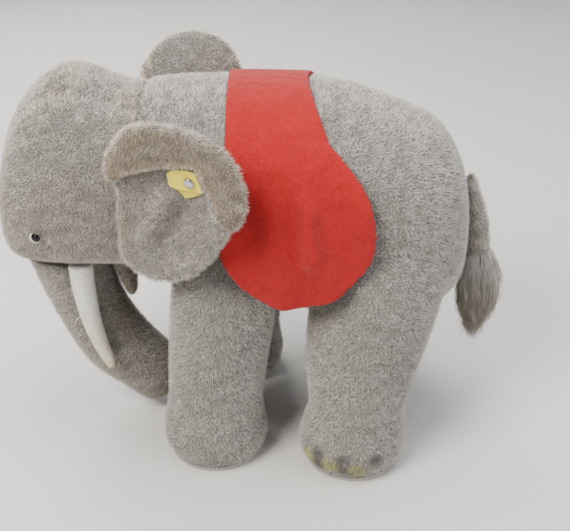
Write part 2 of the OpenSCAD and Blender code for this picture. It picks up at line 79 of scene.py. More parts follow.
camera = add_camera((0.393, 0.012, 0.292), down=29, lens=63.2)
print("camera", tuple(camera.location), "lens", camera.data.lens)

# %% [markdown]
# ## Light and floor
# Pile shows its depth when one broad light comes from above and a little behind the camera, and
# weaker ones fill the shaded sides. Area lights a few times larger than the toy give the soft
# edges of a light tent. The floor is pale and plain.

# %% Lights and floor
def add_light(name, place, size, power, colour, aim=(0, 0, 0.08)):
    lamp = bpy.data.objects.new(name, bpy.data.lights.new(name, "AREA"))
    bpy.context.scene.collection.objects.link(lamp)
    lamp.location = place
    lamp.rotation_euler = (Vector(aim) - Vector(place)).to_track_quat("-Z", "Y").to_euler()
    lamp.data.size = size
    lamp.data.energy = power
    lamp.data.color = colour
    return lamp


add_light("key", (0.50, -0.45, 0.75), 0.40, 11.5, (1.0, 0.97, 0.93))
add_light("top", (-0.05, 0.15, 0.95), 0.7, 8.0, (1.0, 0.99, 0.98))
add_light("fill", (0.5, 0.65, 0.35), 0.6, 3.0, (0.92, 0.96, 1.0))
add_light("back", (-0.6, -0.3, 0.5), 0.5, 4.0, (1.0, 0.98, 0.95))

world = bpy.data.worlds.new("studio")
world.use_nodes = True
world.node_tree.nodes["Background"].inputs["Color"].default_value = (0.80, 0.86, 0.95, 1)
world.node_tree.nodes["Background"].inputs["Strength"].default_value = 0.32
bpy.context.scene.world = world


def add_floor():
    bm = bmesh.new()
    bmesh.ops.create_grid(bm, x_segments=2, y_segments=2, size=3)
    mesh = bpy.data.meshes.new("floor")
    bm.to_mesh(mesh)
    bm.free()
    floor = bpy.data.objects.new("floor", mesh)
    bpy.context.scene.collection.objects.link(floor)
    return floor


floor = add_floor()
print("lights and floor in place")

# %% [markdown]
# ## A short way to write materials
# Each finish is a Principled shader with a few nodes in front of it. These helpers add a node,
# set its values and join it up, so that a material below reads as a short list of steps.

# %% Material helpers
def new_material(name, roughness=0.8, **values):
    material = bpy.data.materials.new(name)
    material.use_nodes = True
    shader = material.node_tree.nodes["Principled BSDF"]
    shader.inputs["Roughness"].default_value = roughness
    for socket, value in values.items():
        shader.inputs[socket.replace("_", " ")].default_value = value
    return material, material.node_tree, shader


def add_node(tree, kind, inputs=None, **settings):
    node = tree.nodes.new(kind)
    for key, value in settings.items():
        setattr(node, key, value)
    for key, value in (inputs or {}).items():
        if isinstance(value, bpy.types.NodeSocket):
            tree.links.new(value, node.inputs[key])
        else:
            node.inputs[key].default_value = value
    return node


def object_noise(tree, size, detail=2.0, distortion=0.0, stretch=(1, 1, 1)):
    """Noise with lumps of about that size, in metres, read from Object coordinates."""
    place = add_node(tree, "ShaderNodeTexCoord").outputs["Object"]
    mapping = add_node(tree, "ShaderNodeMapping", {"Vector": place, "Scale": stretch})
    return add_node(tree, "ShaderNodeTexNoise", {
        "Vector": mapping.outputs["Vector"], "Scale": 1 / size, "Detail": detail,
        "Distortion": distortion}).outputs["Fac"]


def colour_ramp(tree, factor, stops):
    ramp = add_node(tree, "ShaderNodeValToRGB", {"Fac": factor})
    while len(ramp.color_ramp.elements) < len(stops):
        ramp.color_ramp.elements.new(0.5)
    for element, (position, colour) in zip(ramp.color_ramp.elements, stops):
        element.position = position
        element.color = (*colour, 1)
    return ramp.outputs["Color"]


def mix_colour(tree, factor, a, b, how="MIX"):
    return add_node(tree, "ShaderNodeMix", {0: factor, 6: a, 7: b},
                    data_type="RGBA", blend_type=how).outputs[2]


def add_bump(tree, shader, height, strength, distance):
    bump = add_node(tree, "ShaderNodeBump",
                    {"Height": height, "Strength": strength, "Distance": distance})
    tree.links.new(bump.outputs["Normal"], shader.inputs["Normal"])


# %% Floor finish
def floor_finish():
    material, tree, shader = new_material("pale_floor", 0.55)
    lumps = object_noise(tree, 0.2)
    colour = colour_ramp(tree, lumps, [(0.3, (0.74, 0.71, 0.67)), (0.7, (0.78, 0.755, 0.72))])
    tree.links.new(colour, shader.inputs["Base Color"])
    return material


floor.data.materials.append(floor_finish())

# %% [markdown]
# ## Mohair pile
# The cloth is a woven ground with short mohair standing in it. Bump alone never gives its fuzzy
# outline, so each fibre here is real geometry: a thin cone of three faces. Its colour is carried
# by the attribute named tint: painted shade darkens each fibre towards its root, painted light
# brightens its tip, and a few fibres carry much brighter tips as painted glints. The shader only
# adds a little patchiness and sheen. The ground is a much darker grey, painted shade in the gaps
# between fibres, so that they read as depth.

# %% Pile finishes
def pile_finish(name, patch=(0.88, 1.08), size=0.006):
    material, tree, shader = new_material(name, 0.62, Sheen_Weight=0.35, Sheen_Roughness=0.45,
                                          Specular_IOR_Level=0.3)
    tint = add_node(tree, "ShaderNodeAttribute", attribute_name="tint").outputs["Color"]
    lumps = object_noise(tree, size, detail=3.0)
    low, high = patch
    shade = colour_ramp(tree, lumps, [(0.32, (low, low, low)), (0.68, (high, high, high))])
    tree.links.new(mix_colour(tree, 1.0, tint, shade, "MULTIPLY"), shader.inputs["Base Color"])
    return material


def painted_shade_ground_finish():
    material, tree, shader = new_material("mohair_ground_painted_shade", 0.9, Specular_IOR_Level=0.15)
    lumps = object_noise(tree, 0.0009, detail=4.0, distortion=0.6)
    # Painted shade: the ground is far darker than the pile, standing in for the shade deep between the
    # fibres.
    colour = colour_ramp(tree, lumps, [(0.3, (0.115, 0.105, 0.095)), (0.7, (0.27, 0.25, 0.23))])
    tree.links.new(colour, shader.inputs["Base Color"])
    add_bump(tree, shader, lumps, 0.8, 0.0006)
    return material


PILE = pile_finish("mohair_pile")
GROUND_PAINTED_SHADE = painted_shade_ground_finish()
print("pile finishes made")

# %% [markdown]
# ## From CAD solids to sewn skins
# The CAD model has each panel of plush as a plain closed solid. A real toy has no edges where a
# leg meets the body: the cloth runs over the joint in one soft curve. A voxel remesh of copies
# of the solids welds them into one form, and smoothing rounds what it leaves.

# %% Copies, remesh and smoothing
def copy_of(names):
    """One mesh of copies of CAD nodes, with their loose triangles merged."""
    bm = bmesh.new()
    for name in names:
        bm.from_mesh(nodes[name].data)
    bmesh.ops.remove_doubles(bm, verts=bm.verts[:], dist=0.01 * MM)
    return bm


def make_object(name, bm, smooth=True):
    mesh = bpy.data.meshes.new(name)
    bm.to_mesh(mesh)
    bm.free()
    if smooth:
        mesh.shade_smooth()
    made = bpy.data.objects.new(name, mesh)
    bpy.context.scene.collection.objects.link(made)
    return made


def apply_modifiers(made):
    depsgraph = bpy.context.evaluated_depsgraph_get()
    mesh = bpy.data.meshes.new_from_object(made.evaluated_get(depsgraph))
    made.modifiers.clear()
    made.data = mesh
    return made


def welded_form(name, names, voxel, smooth_steps, extra=None):
    """The skin of several solids together, as one even mesh of quads. extra may add to the copies."""
    bm = copy_of(names)
    if extra is not None:
        extra(bm)
    made = make_object(name, bm)
    remesh = made.modifiers.new("weld", "REMESH")
    remesh.mode = "VOXEL"
    remesh.voxel_size = voxel
    soften = made.modifiers.new("soften", "SMOOTH")
    soften.factor = 0.5
    soften.iterations = smooth_steps
    return apply_modifiers(made)


LEGS = [f"{end}_leg_{side}" for end in ("front", "rear") for side in ("left", "right")]
CORES = [leg + "_stuffing" for leg in LEGS]
TORSO = ["torso_left_side", "torso_right_side", "belly_gusset"]
body_form = welded_form("body_form", TORSO + ["torso_stuffing"] + LEGS + CORES, 2.0 * MM, 6)
HEAD = ["head_left_side", "head_right_side", "head_gusset"]
head_form = welded_form("head_form", HEAD + ["head_stuffing"], 1.6 * MM, 3)
TRUNK = ["trunk_left_side", "trunk_right_side"]
trunk_form = welded_form("trunk_form", TRUNK + ["trunk_stuffing"], 1.4 * MM, 3)
for form in (body_form, head_form, trunk_form):
    print(form.name, len(form.data.polygons), "faces")

# %% [markdown]
# ## Panels and seams
# The toy is sewn from panels, and each stays a piece of its own. Every face of a welded form goes
# to the CAD panel that lies nearest to it, and the points where two panels meet are the seams.

# %% Sort faces into panels
def points_of(mesh):
    flat = np.empty(len(mesh.vertices) * 3, np.float32)
    mesh.vertices.foreach_get("co", flat)
    return flat.reshape(-1, 3).astype(float)


def normals_of(mesh):
    flat = np.empty(len(mesh.vertices) * 3, np.float32)
    mesh.vertex_normals.foreach_get("vector", flat)
    return flat.reshape(-1, 3).astype(float)


def place_points(form, places):
    form.data.vertices.foreach_set("co", places.astype(np.float32).ravel())
    form.data.update()


def reshape(form, change):
    place_points(form, change(points_of(form.data), normals_of(form.data)))


def bvh_of(names):
    """One search tree for each CAD node, to find its nearest point or to cast rays at it."""
    return [BVHTree.FromPolygons([v.co for v in nodes[n].data.vertices],
                                 [p.vertices[:] for p in nodes[n].data.polygons]) for n in names]


def nearest_panel(form, names):
    """For each face of the form, the index of the panel nearest to its centre."""
    trees = bvh_of(names)
    return np.array([min(range(len(names)), key=lambda k: trees[k].find_nearest(face.center)[3])
                     for face in form.data.polygons])


def seam_points(form, panel, sewn=None):
    """The vertices where two panels meet, of all of them or of the ones listed."""
    low = np.full(len(form.data.vertices), 99)
    high = np.full(len(form.data.vertices), -1)
    for face in form.data.polygons:
        if sewn is None or panel[face.index] in sewn:
            for v in face.vertices:
                low[v] = min(low[v], panel[face.index])
                high[v] = max(high[v], panel[face.index])
    return np.flatnonzero((low != high) & (high >= 0))


BODY_PANELS = TORSO + LEGS
body_panel = nearest_panel(body_form, BODY_PANELS)
head_panel = nearest_panel(head_form, HEAD)
trunk_panel = nearest_panel(trunk_form, TRUNK)
for form, panel in ((body_form, body_panel), (head_form, head_panel), (trunk_form, trunk_panel)):
    print(form.name, "faces per panel", np.bincount(panel),
          "seam points", len(seam_points(form, panel)))

# %% [markdown]
# ## Stuffing swells the cloth
# Packed wood wool pushes each panel out between its seams. The cloth simulation does the same:
# the seams are pinned, a little pressure fills the form, and a cap keeps any point from moving
# further than the stuffing of so small a toy could push it.

# %% Swell a form by simulation
def swell(form, pinned, cap, pressure=4.0, frames=12):
    before = points_of(form.data)
    group = form.vertex_groups.new(name="seams")
    group.add([int(v) for v in pinned], 1.0, "REPLACE")
    cloth = form.modifiers.new("cloth", "CLOTH")
    cloth.settings.quality = 4
    cloth.settings.mass = 0.2
    cloth.settings.vertex_group_mass = "seams"
    cloth.settings.use_pressure = True
    cloth.settings.uniform_pressure_force = pressure
    cloth.settings.effector_weights.gravity = 0
    cloth.point_cache.frame_end = frames
    for step in range(1, frames + 1):
        bpy.context.scene.frame_set(step)
    apply_modifiers(form)
    bpy.context.scene.frame_set(1)
    moved = points_of(form.data) - before
    size = np.linalg.norm(moved, axis=1)
    moved *= np.minimum(1, cap / np.maximum(size, 1e-9))[:, None]
    place_points(form, before + moved)
    print(form.name, "swelled by up to", round(float(size.max()) / MM, 2), "mm, kept under", cap / MM)
    return form


body_seams = seam_points(body_form, body_panel, sewn=(0, 1, 2))
head_seams = seam_points(head_form, head_panel)
trunk_seams = seam_points(trunk_form, trunk_panel)
swell(head_form, head_seams, 0.9 * MM)
swell(trunk_form, trunk_seams, 0.7 * MM)
feet = np.flatnonzero(points_of(body_form.data)[:, 2] < 3 * MM)
swell(body_form, np.union1d(body_seams, feet), 1.0 * MM)

# %% [markdown]
# ## Planting the pile
# The fibre is one small cone. Each panel is strewn with roots, and at each root stands a copy
# that leans with the nap of the cloth. Two layers of slow noise turn the lean a little, which
# gathers neighbouring tips into the small bright tufts that mohair shows.

# %% One fibre, and many
def fibre():
    """A cone of three faces, one unit long and one unit across its root."""
    bm = bmesh.new()
    bmesh.ops.create_cone(bm, segments=3, radius1=0.5, radius2=0.0, depth=1.0, cap_ends=False)
    bmesh.ops.remove_doubles(bm, verts=bm.verts[:], dist=1e-4)
    bmesh.ops.translate(bm, verts=bm.verts[:], vec=(0, 0, 0.5))
    bm.verts.index_update()
    points = np.array([v.co for v in bm.verts])
    faces = np.array([[v.index for v in f.verts] for f in bm.faces])
    bm.free()
    return points, faces


def unit(vectors):
    return vectors / np.maximum(np.linalg.norm(vectors, axis=1), 1e-9)[:, None]


def swirl(points, size, seed):
    """A smooth random vector at each point, changing over about that size."""
    rng = np.random.default_rng(seed)
    made = np.zeros_like(points)
    for _ in range(5):
        wave = rng.normal(size=(3, 3)) * (2 * math.pi / size / 1.7)
        made += np.sin(points @ wave + rng.uniform(0, 2 * math.pi, 3))
    return made / 2.2


def strew(mesh, faces, per_mm2, rng, keep=None):
    """Random places on some faces of a mesh, with the smooth normal at each."""
    places, normals = points_of(mesh), normals_of(mesh)
    triangles = []
    for index in faces:
        corners = mesh.polygons[index].vertices[:]
        triangles += [(corners[0], corners[k], corners[k + 1]) for k in range(1, len(corners) - 1)]
    triangles = np.array(triangles)
    a, b, c = (places[triangles[:, k]] for k in range(3))
    area = np.linalg.norm(np.cross(b - a, c - a), axis=1) / 2
    count = int(area.sum() / MM ** 2 * per_mm2)
    chosen = rng.choice(len(triangles), count, p=area / area.sum())
    u, v = rng.random(count), rng.random(count)
    u, v = np.where(u + v > 1, 1 - u, u), np.where(u + v > 1, 1 - v, v)
    share = np.stack([1 - u - v, u, v], axis=1)
    roots = np.einsum("nk,nkd->nd", share, places[triangles[chosen]])
    outward = unit(np.einsum("nk,nkd->nd", share, normals[triangles[chosen]]))
    if keep is not None:
        kept = rng.random(count) < keep(roots, outward)
        roots, outward = roots[kept], outward[kept]
    return roots, outward


def stand(roots, outward, nap, lean, rng, tuft=0.28):
    """The direction of each fibre: outward, leaning along the nap."""
    along = nap - (nap * outward).sum(1)[:, None] * outward
    along = unit(along)
    jitter = rng.normal(size=roots.shape) * 0.24
    way = outward + lean * along + jitter
    way += tuft * swirl(roots, 0.004, 11) + tuft * 0.3 * swirl(roots, 0.015, 12)
    way += np.maximum(0, 0.35 - (unit(way) * outward).sum(1))[:, None] * outward * 1.5
    return unit(way)


def planted(template, roots, ways, lengths, widths, rng):
    """Copies of a fibre: their points, faces and the height of each point along its fibre."""
    shape, faces = template
    side = unit(np.cross(ways, rng.normal(size=ways.shape)))
    other = np.cross(ways, side)
    points = (roots[:, None] + shape[None, :, 0, None] * (side * widths[:, None])[:, None]
              + shape[None, :, 1, None] * (other * widths[:, None])[:, None]
              + shape[None, :, 2, None] * (ways * lengths[:, None])[:, None])
    radial = shape[None, :, 0, None] * side[:, None] + shape[None, :, 1, None] * other[:, None]
    count = len(roots)
    every = faces[None] + (np.arange(count) * len(shape))[:, None, None]
    height = np.broadcast_to(shape[None, :, 2], (count, len(shape)))
    return (points.reshape(-1, 3), every.reshape(-1, faces.shape[1]), height.reshape(-1),
            radial.reshape(-1, 3))


FIBRE = fibre()
print("a fibre has", len(FIBRE[0]), "points and", len(FIBRE[1]), "faces")

# %% [markdown]
# ## A piece of plush
# One panel becomes one piece: its share of the skin, given a cloth's thickness inwards, with its
# pile planted on the outside. Skin and pile are one mesh with two finishes. Fibres shorten along
# a seam, where the needle catches them, and nothing reaches below the ground.

# %% Build one plush piece
def panel_skin(form, faces, thickness):
    """The faces listed, as points, faces and normals of a wall with that thickness inwards."""
    bm = bmesh.new()
    bm.from_mesh(form.data)
    bm.faces.ensure_lookup_table()
    wanted = set(int(f) for f in faces)
    bmesh.ops.delete(bm, geom=[f for f in bm.faces if f.index not in wanted], context="FACES")
    bmesh.ops.solidify(bm, geom=bm.faces[:], thickness=thickness)
    bm.normal_update()
    bm.verts.index_update()
    points = np.array([v.co for v in bm.verts])
    normals = np.array([v.normal for v in bm.verts])
    quads = [[v.index for v in f.verts] for f in bm.faces]
    bm.free()
    return points, normals, quads


def joined_mesh(name, points, faces, normals, tints, finish_of_face, finishes):
    """A mesh from arrays, with a tint and a normal at each point."""
    mesh = bpy.data.meshes.new(name)
    sizes = np.array([len(f) for f in faces], np.int32)
    mesh.vertices.add(len(points))
    mesh.vertices.foreach_set("co", points.astype(np.float32).ravel())
    mesh.loops.add(int(sizes.sum()))
    mesh.loops.foreach_set("vertex_index", np.concatenate([np.asarray(f, np.int32) for f in faces]))
    mesh.polygons.add(len(sizes))
    mesh.polygons.foreach_set("loop_start", (np.cumsum(sizes) - sizes).astype(np.int32))
    mesh.polygons.foreach_set("material_index", finish_of_face.astype(np.int32))
    for finish in finishes:
        mesh.materials.append(finish)
    mesh.update(calc_edges=True)
    tint = mesh.color_attributes.new("tint", "FLOAT_COLOR", "POINT")
    tint.data.foreach_set("color", np.c_[tints, np.ones(len(tints))].astype(np.float32).ravel())
    mesh.shade_smooth()
    if normals is not None:
        mesh.normals_split_custom_set_from_vertices(normals)
    made = bpy.data.objects.new(name, mesh)
    bpy.context.scene.collection.objects.link(made)
    return made


# The pile's grey is painted darker at the root as painted shade and lighter at the tip as painted light;
# a share of fibres get much brighter tips as painted glints.
PAINTED_ROOT_SHADE = 0.66
PAINTED_GLINT_SHARE, PAINTED_GLINT_GAIN, PAINTED_TIP_LIGHT = 0.12, 2.3, 1.2
ROOT_DEPTH = 0.2 * MM
EVENNESS = 0.78
GREY = np.array((0.56, 0.515, 0.455))
BROWN = np.array((0.52, 0.385, 0.255))


def pile_tints(height, colour, painted_tip_gain, rng, count):
    """Painted shade at the roots, painted light at the tips, and a little difference from fibre to fibre.
    """
    each = colour * (1 + rng.normal(size=(count, 1)) * 0.10)
    tip = each * painted_tip_gain[:, None]
    share = height.reshape(count, -1)[:, :, None]
    return (each[:, None] * PAINTED_ROOT_SHADE * (1 - share) + tip[:, None] * share).reshape(-1, 3)


def plush_piece(name, form, faces, cloth, per_mm2, length, width, nap, lean, colour, seed,
                keep=None, shorten=None):
    """One panel of plush: its skin and its pile. nap, colour and shorten are functions of place."""
    rng = np.random.default_rng(SEED * 100 + seed)
    roots, outward = strew(form.data, faces, per_mm2, rng, keep)
    ways = stand(roots, outward, nap(roots), lean, rng)
    lengths = length * rng.uniform(0.75, 1.2, len(roots))
    if shorten is not None:
        lengths *= shorten(roots)
    widths = width * rng.uniform(0.8, 1.25, len(roots))
    points, cones, height, radial = planted(FIBRE, roots - outward * ROOT_DEPTH, ways, lengths,
                                            widths, rng)
    points[:, 2] = np.maximum(points[:, 2], 0.25 * MM)
    # Each fibre's tip brightness: most get painted tip light, a few a painted glint.
    tip_light_and_glints = np.where(rng.random(len(roots)) < PAINTED_GLINT_SHARE, PAINTED_GLINT_GAIN, PAINTED_TIP_LIGHT) * rng.uniform(0.9, 1.1, len(roots))
    tints = pile_tints(height, colour(roots), tip_light_and_glints, rng, len(roots))
    each = np.repeat(outward, len(FIBRE[0]), axis=0)
    normals = unit(EVENNESS * each + (1 - EVENNESS) * unit(radial + 1e-6 * each))
    skin_points, skin_normals, quads = panel_skin(form, faces, cloth)
    # The skin's tint is the grey at 0.4 of its value: painted shade, like the ground.
    made = joined_mesh(
        name, np.vstack([skin_points, points]),
        quads + list(cones + len(skin_points)),
        np.vstack([skin_normals, normals]),
        np.vstack([np.tile(GREY * 0.4, (len(skin_points), 1)), tints]),
        np.r_[np.zeros(len(quads)), np.ones(len(cones))], [GROUND_PAINTED_SHADE, PILE])
    print(name, len(cones) // 3, "fibres,", len(made.data.polygons), "faces")
    return made


def steady(*direction):
    """A nap that runs the same way everywhere."""
    return lambda places: np.tile(np.array(direction, float), (len(places), 1))


def plain_grey(places):
    slow = swirl(places, 0.05, 21)[:, :1] * 0.04
    return GREY * (1 + slow)

# %% [markdown]
# ## Seams part the pile
# Along a seam the needle catches the pile, so the fibres there are short and lean away from it on
# both sides. The parting shows most round the gusset on top of the head. Under the blanket the
# pile is pressed flat and is left out, and the bottoms of the feet are left to the soles.

# %% Where the pile parts, stops and presses flat
def tree_of(points):
    tree = KDTree(len(points))
    for k, point in enumerate(points):
        tree.insert(Vector(point), k)
    tree.balance()
    return tree


def away_from(tree, places):
    """The distance from each place to the nearest point of the tree, and the way away from it."""
    found = [tree.find(Vector(place)) for place in places]
    nearest = np.array([f[0] for f in found])
    distance = np.array([f[2] for f in found])
    return distance, (places - nearest) / np.maximum(distance, 1e-6)[:, None]


def seam_tree(form, seams):
    return tree_of(points_of(form.data)[seams])


def short_at(tree, reach, least):
    """Fibres at a seam have only this share of their length, and all of it from reach outwards."""
    def shorten(places):
        distance, _ = away_from(tree, places)
        return least + (1 - least) * np.clip(distance / reach, 0, 1)
    return shorten


def parting(tree, reach, nap):
    """A nap that turns away from the seam within reach of it."""
    def part(places):
        distance, away = away_from(tree, places)
        near = np.clip(1 - distance / reach, 0, 1)[:, None]
        return nap(places) * (1 - near) + away * near * 1.6
    return part


BLANKET = bvh_of(["blanket_strap", "blanket_left_flap", "blanket_right_flap"])


def body_keep(places, outward):
    """No pile under the blanket, in the neck seam or under the feet."""
    kept = np.ones(len(places))
    kept[(np.abs(places[:, 1] + 46 * MM) < 2.5 * MM) & (outward[:, 1] < -0.92)] = 0
    kept[(places[:, 2] < 3.2 * MM) & (outward[:, 2] < -0.5)] = 0
    near = (np.abs(places[:, 1] - 10 * MM) < 50 * MM) & (places[:, 2] > 80 * MM)
    for k in np.flatnonzero(near & (kept > 0)):
        start, way = Vector(places[k]), Vector(outward[k])
        if any(tree.ray_cast(start, way, 12 * MM)[0] is not None for tree in BLANKET):
            kept[k] = 0
    return kept


def head_keep(places, outward):
    kept = np.ones(len(places))
    kept[(places[:, 1] > -48 * MM) & (outward[:, 1] > 0.92)] = 0
    return kept


def trunk_keep(places, outward):
    return np.where((places[:, 2] > 81 * MM) & (outward[:, 2] > 0.6), 0.0, 1.0)


def finish_piece(made, body, replaced):
    """A finished piece rides on its body and stands for its CAD nodes."""
    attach(made, body)
    if replaced:
        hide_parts(*replaced)
    return made


# %% [markdown]
# ## Body, legs and toes
# Each panel of the body and each leg is a piece. The toes of the rear feet are airbrushed on: a
# yellow oval with a dark shade above it.

# %% Body and legs
TOES = [(50.8, 22.4, 8.4), (58.9, 31.2, 9.2), (61.9, 42.8, 8.0)]
SHADES = [(55.6, 26.6, 12.4), (61.2, 36.6, 12.8), (60.9, 50.4, 13.0), (55.6, 26.6, 8.0),
          (61.2, 36.8, 8.4)]


def toe_colour(side):
    def colour(places):
        base = plain_grey(places)
        flat = places / MM * (side, 1, 1)
        for centres, paint, wide, high in ((SHADES, (0.055, 0.055, 0.06), 3.8, 3.4),
                                           (TOES, (0.62, 0.57, 0.15), 4.0, 3.5)):
            for centre in centres:
                off = flat - centre
                across = np.hypot(off[:, 0], off[:, 1]) / wide
                share = np.exp(-(across ** 2 + (off[:, 2] / high) ** 2) ** 1.8)[:, None] * 0.9
                base = base * (1 - share) + np.array(paint) * share
        return base
    return colour


body_tree = seam_tree(body_form, body_seams)
PER_MM2 = {"torso_left_side": 4.3, "torso_right_side": 3.8, "belly_gusset": 2.0}
for index, node in enumerate(BODY_PANELS):
    faces = np.flatnonzero(body_panel == index)
    leg = node in LEGS
    nap = steady(0, 0.25, -1.0) if leg else parting(body_tree, 4 * MM, steady(0, 0.7, -0.7))
    colour = plain_grey
    if node.startswith("rear_leg"):
        colour = toe_colour(1 if node.endswith("left") else -1)
    made = plush_piece(node + "_plush", body_form, faces, 1.2 * MM, PER_MM2.get(node, 3.3), 1.7 * MM,
                       0.26 * MM, nap, 0.28, colour, 10 + index, keep=body_keep,
                       shorten=None if leg else short_at(body_tree, 2.5 * MM, 0.55))
    finish_piece(made, "root", [node])

# %% [markdown]
# ## Head, trunk and lip
# The head is two sides and a gusset, and it is a little browner than the body. The trunk is two
# halves, with a small lip of the same plush below its root.

# %% Head and trunk
def browner(share):
    def colour(places):
        slow = np.clip(0.5 + swirl(places, 0.03, 31)[:, :1] * 0.35, 0, 1)
        return plain_grey(places) * (1 - share * slow) + BROWN * 1.05 * share * slow
    return colour


def painted_light_along(tree, colour):
    """Painted highlight on the tips along a parting, where the pile opens."""
    def lit(places):
        distance, _ = away_from(tree, places)
        return colour(places) * (1 + 0.32 * np.exp(-(distance / (1.4 * MM)) ** 2))[:, None]
    return lit


head_tree = seam_tree(head_form, head_seams)
for index, node in enumerate(HEAD):
    made = plush_piece(node + "_plush", head_form, np.flatnonzero(head_panel == index), 1.2 * MM, 4.9,
                       1.65 * MM, 0.23 * MM, parting(head_tree, 5 * MM, steady(0, 0.5, -0.8)), 0.35,
                       painted_light_along(head_tree, browner(0.4)), 20 + index, keep=head_keep,
                       shorten=short_at(head_tree, 2.2 * MM, 0.5))
    finish_piece(made, "root", [node])

trunk_tree = seam_tree(trunk_form, trunk_seams)
for index, node in enumerate(TRUNK):
    made = plush_piece(node + "_plush", trunk_form, np.flatnonzero(trunk_panel == index), 1.1 * MM, 4.4,
                       1.6 * MM, 0.23 * MM, parting(trunk_tree, 3 * MM, steady(0, -0.2, -1)), 0.3,
                       browner(0.3), 30 + index, keep=trunk_keep,
                       shorten=short_at(trunk_tree, 1.5 * MM, 0.6))
    finish_piece(made, "root", [node])

lip_form = welded_form("lip_form", ["lower_lip"], 0.9 * MM, 2)
lip = plush_piece("lower_lip_plush", lip_form, range(len(lip_form.data.polygons)), 0.6 * MM, 5.0,
                  1.3 * MM, 0.23 * MM, steady(0, -0.5, -0.8), 0.4, browner(0.6), 36)
finish_piece(lip, "root", ["lower_lip"])
print("head, trunk and lip done")

# %% [markdown]
# ## Ears
# An ear is a front and a back panel sewn round their edge. Its upper edge is folded forwards into
# a broad band, with a deep gap under it, and the middle is a shallow dish with a soft ridge. The
# relief is laid on the welded form: heights are added along the normal from the distances to a
# few lines that mark the gap, the ridge and the rim.

# %% Ear relief
GAP = np.array([(-48.5, 140.2), (-46.7, 141.4), (-35.4, 145.9), (-20.3, 148.7), (-17.5, 138.3),
                (-14.3, 133.5)])
RIDGE = np.array([(-31.5, 132.0), (-41.8, 113.1)])
VALLEY = RIDGE + (6.0, -1.5)
STITCH = np.array([(-56.0, 134.6), (-51.5, 129.2)])


def line_distance(flat, line):
    """The distance from each flat point to a line, with its sign: positive on its left side."""
    best = np.full(len(flat), 1e9)
    sign = np.ones(len(flat))
    for a, b in zip(line[:-1], line[1:]):
        along = b - a
        share = np.clip(((flat - a) @ along) / (along @ along), 0, 1)
        off = flat - a - share[:, None] * along
        size = np.linalg.norm(off, axis=1)
        side = np.sign(along[0] * (flat - a)[:, 1] - along[1] * (flat - a)[:, 0])
        sign = np.where(size < best, side, sign)
        best = np.minimum(size, best)
    return best, sign


def hill(distance, width):
    return np.exp(-(distance / width) ** 2)


def ear_rim(form):
    """The points on the ear's edge, which face neither outwards nor inwards."""
    places, normals = points_of(form.data), normals_of(form.data)
    return places[np.abs(normals[:, 0]) < 0.4]


def ear_relief(form, side):
    places, normals = points_of(form.data), normals_of(form.data)
    flat = places[:, 1:] / MM
    rim, _ = away_from(tree_of(ear_rim(form)), places)
    rim /= MM
    gap, above = line_distance(flat, GAP)
    outside = above > 0
    ends = hill(np.maximum(0, gap - 6), 9)
    height = 0.9 * hill(rim - 2, 3.5) + 0.3
    height += np.where(outside, 3.6 * (1 - np.exp(-gap / 0.6)) * hill(gap, 17) * ends, 0)
    height -= np.where(outside, 0, 1.7 * hill(gap, 1.6))
    height -= 0.9 * hill(np.linalg.norm(flat - (-25.0, 137.5), axis=1), 13)
    height += 3.4 * hill(line_distance(flat, RIDGE)[0], 4.2)
    height -= 1.2 * hill(line_distance(flat, VALLEY)[0], 4.0)
    height -= 1.2 * hill(line_distance(flat, STITCH)[0], 1.2)
    height = np.maximum(height, -1.0)
    front = np.clip((normals[:, 0] * side - 0.1) / 0.4, 0, 1)
    places += normals * (height * front)[:, None] * MM
    place_points(form, places)


def ear_colour(rim_tree):
    """Brown on the folded band and at the front edge and grey in the dish, with painted light and shade:
    highlights at the rim and just above the gap, shade in the gap and the valley, light on the ridge.
    """
    def colour(places):
        flat = places[:, 1:] / MM
        gap, above = line_distance(flat, GAP)
        rim, _ = away_from(rim_tree, places)
        band = np.where(above > 0, hill(rim / MM - 4.5, 5.5), 0)
        ridge, valley = line_distance(flat, RIDGE)[0], line_distance(flat, VALLEY)[0]
        front = hill(np.linalg.norm((flat - (-53.0, 114.0)) / (1, 2.4), axis=1), 5)
        brown = np.clip(0.12 + 0.80 * band + 0.5 * front, 0, 1)[:, None]
        base = plain_grey(places) * (1 - brown) + BROWN * brown
        # Painted light and shade: brighter at the rim, above the gap and on the ridge; darker in the gap
        # under the band and in the valley.
        painted_light_and_shade = 1 + 0.30 * hill(rim / MM, 2.5) + np.where(above > 0, 0.35 * hill(gap - 0.8, 1.2), 0)
        painted_light_and_shade -= np.where(above > 0, 0, 0.88 * hill(gap, 2.1))
        painted_light_and_shade += 0.10 * hill(ridge, 4) - 0.26 * hill(valley, 4)
        return base * painted_light_and_shade[:, None]
    return colour


STUD = np.mean([v.co for v in nodes["ear_stud"].data.vertices], axis=0)


def ear_keep(places, outward):
    """No pile under the stud."""
    off = np.linalg.norm(places - STUD, axis=1)
    return np.where(off < 3.6 * MM, 0.0, 1.0)


def ear_short(rim_tree, side):
    def shorten(places):
        rim, _ = away_from(rim_tree, places)
        tagged = hill(np.linalg.norm(places - STUD - (0, 0, -0.001), axis=1) / MM, 8) if side > 0 else 0
        return (0.82 + 0.42 * hill(rim / MM, 3)) * (1 - 0.55 * tagged)
    return shorten


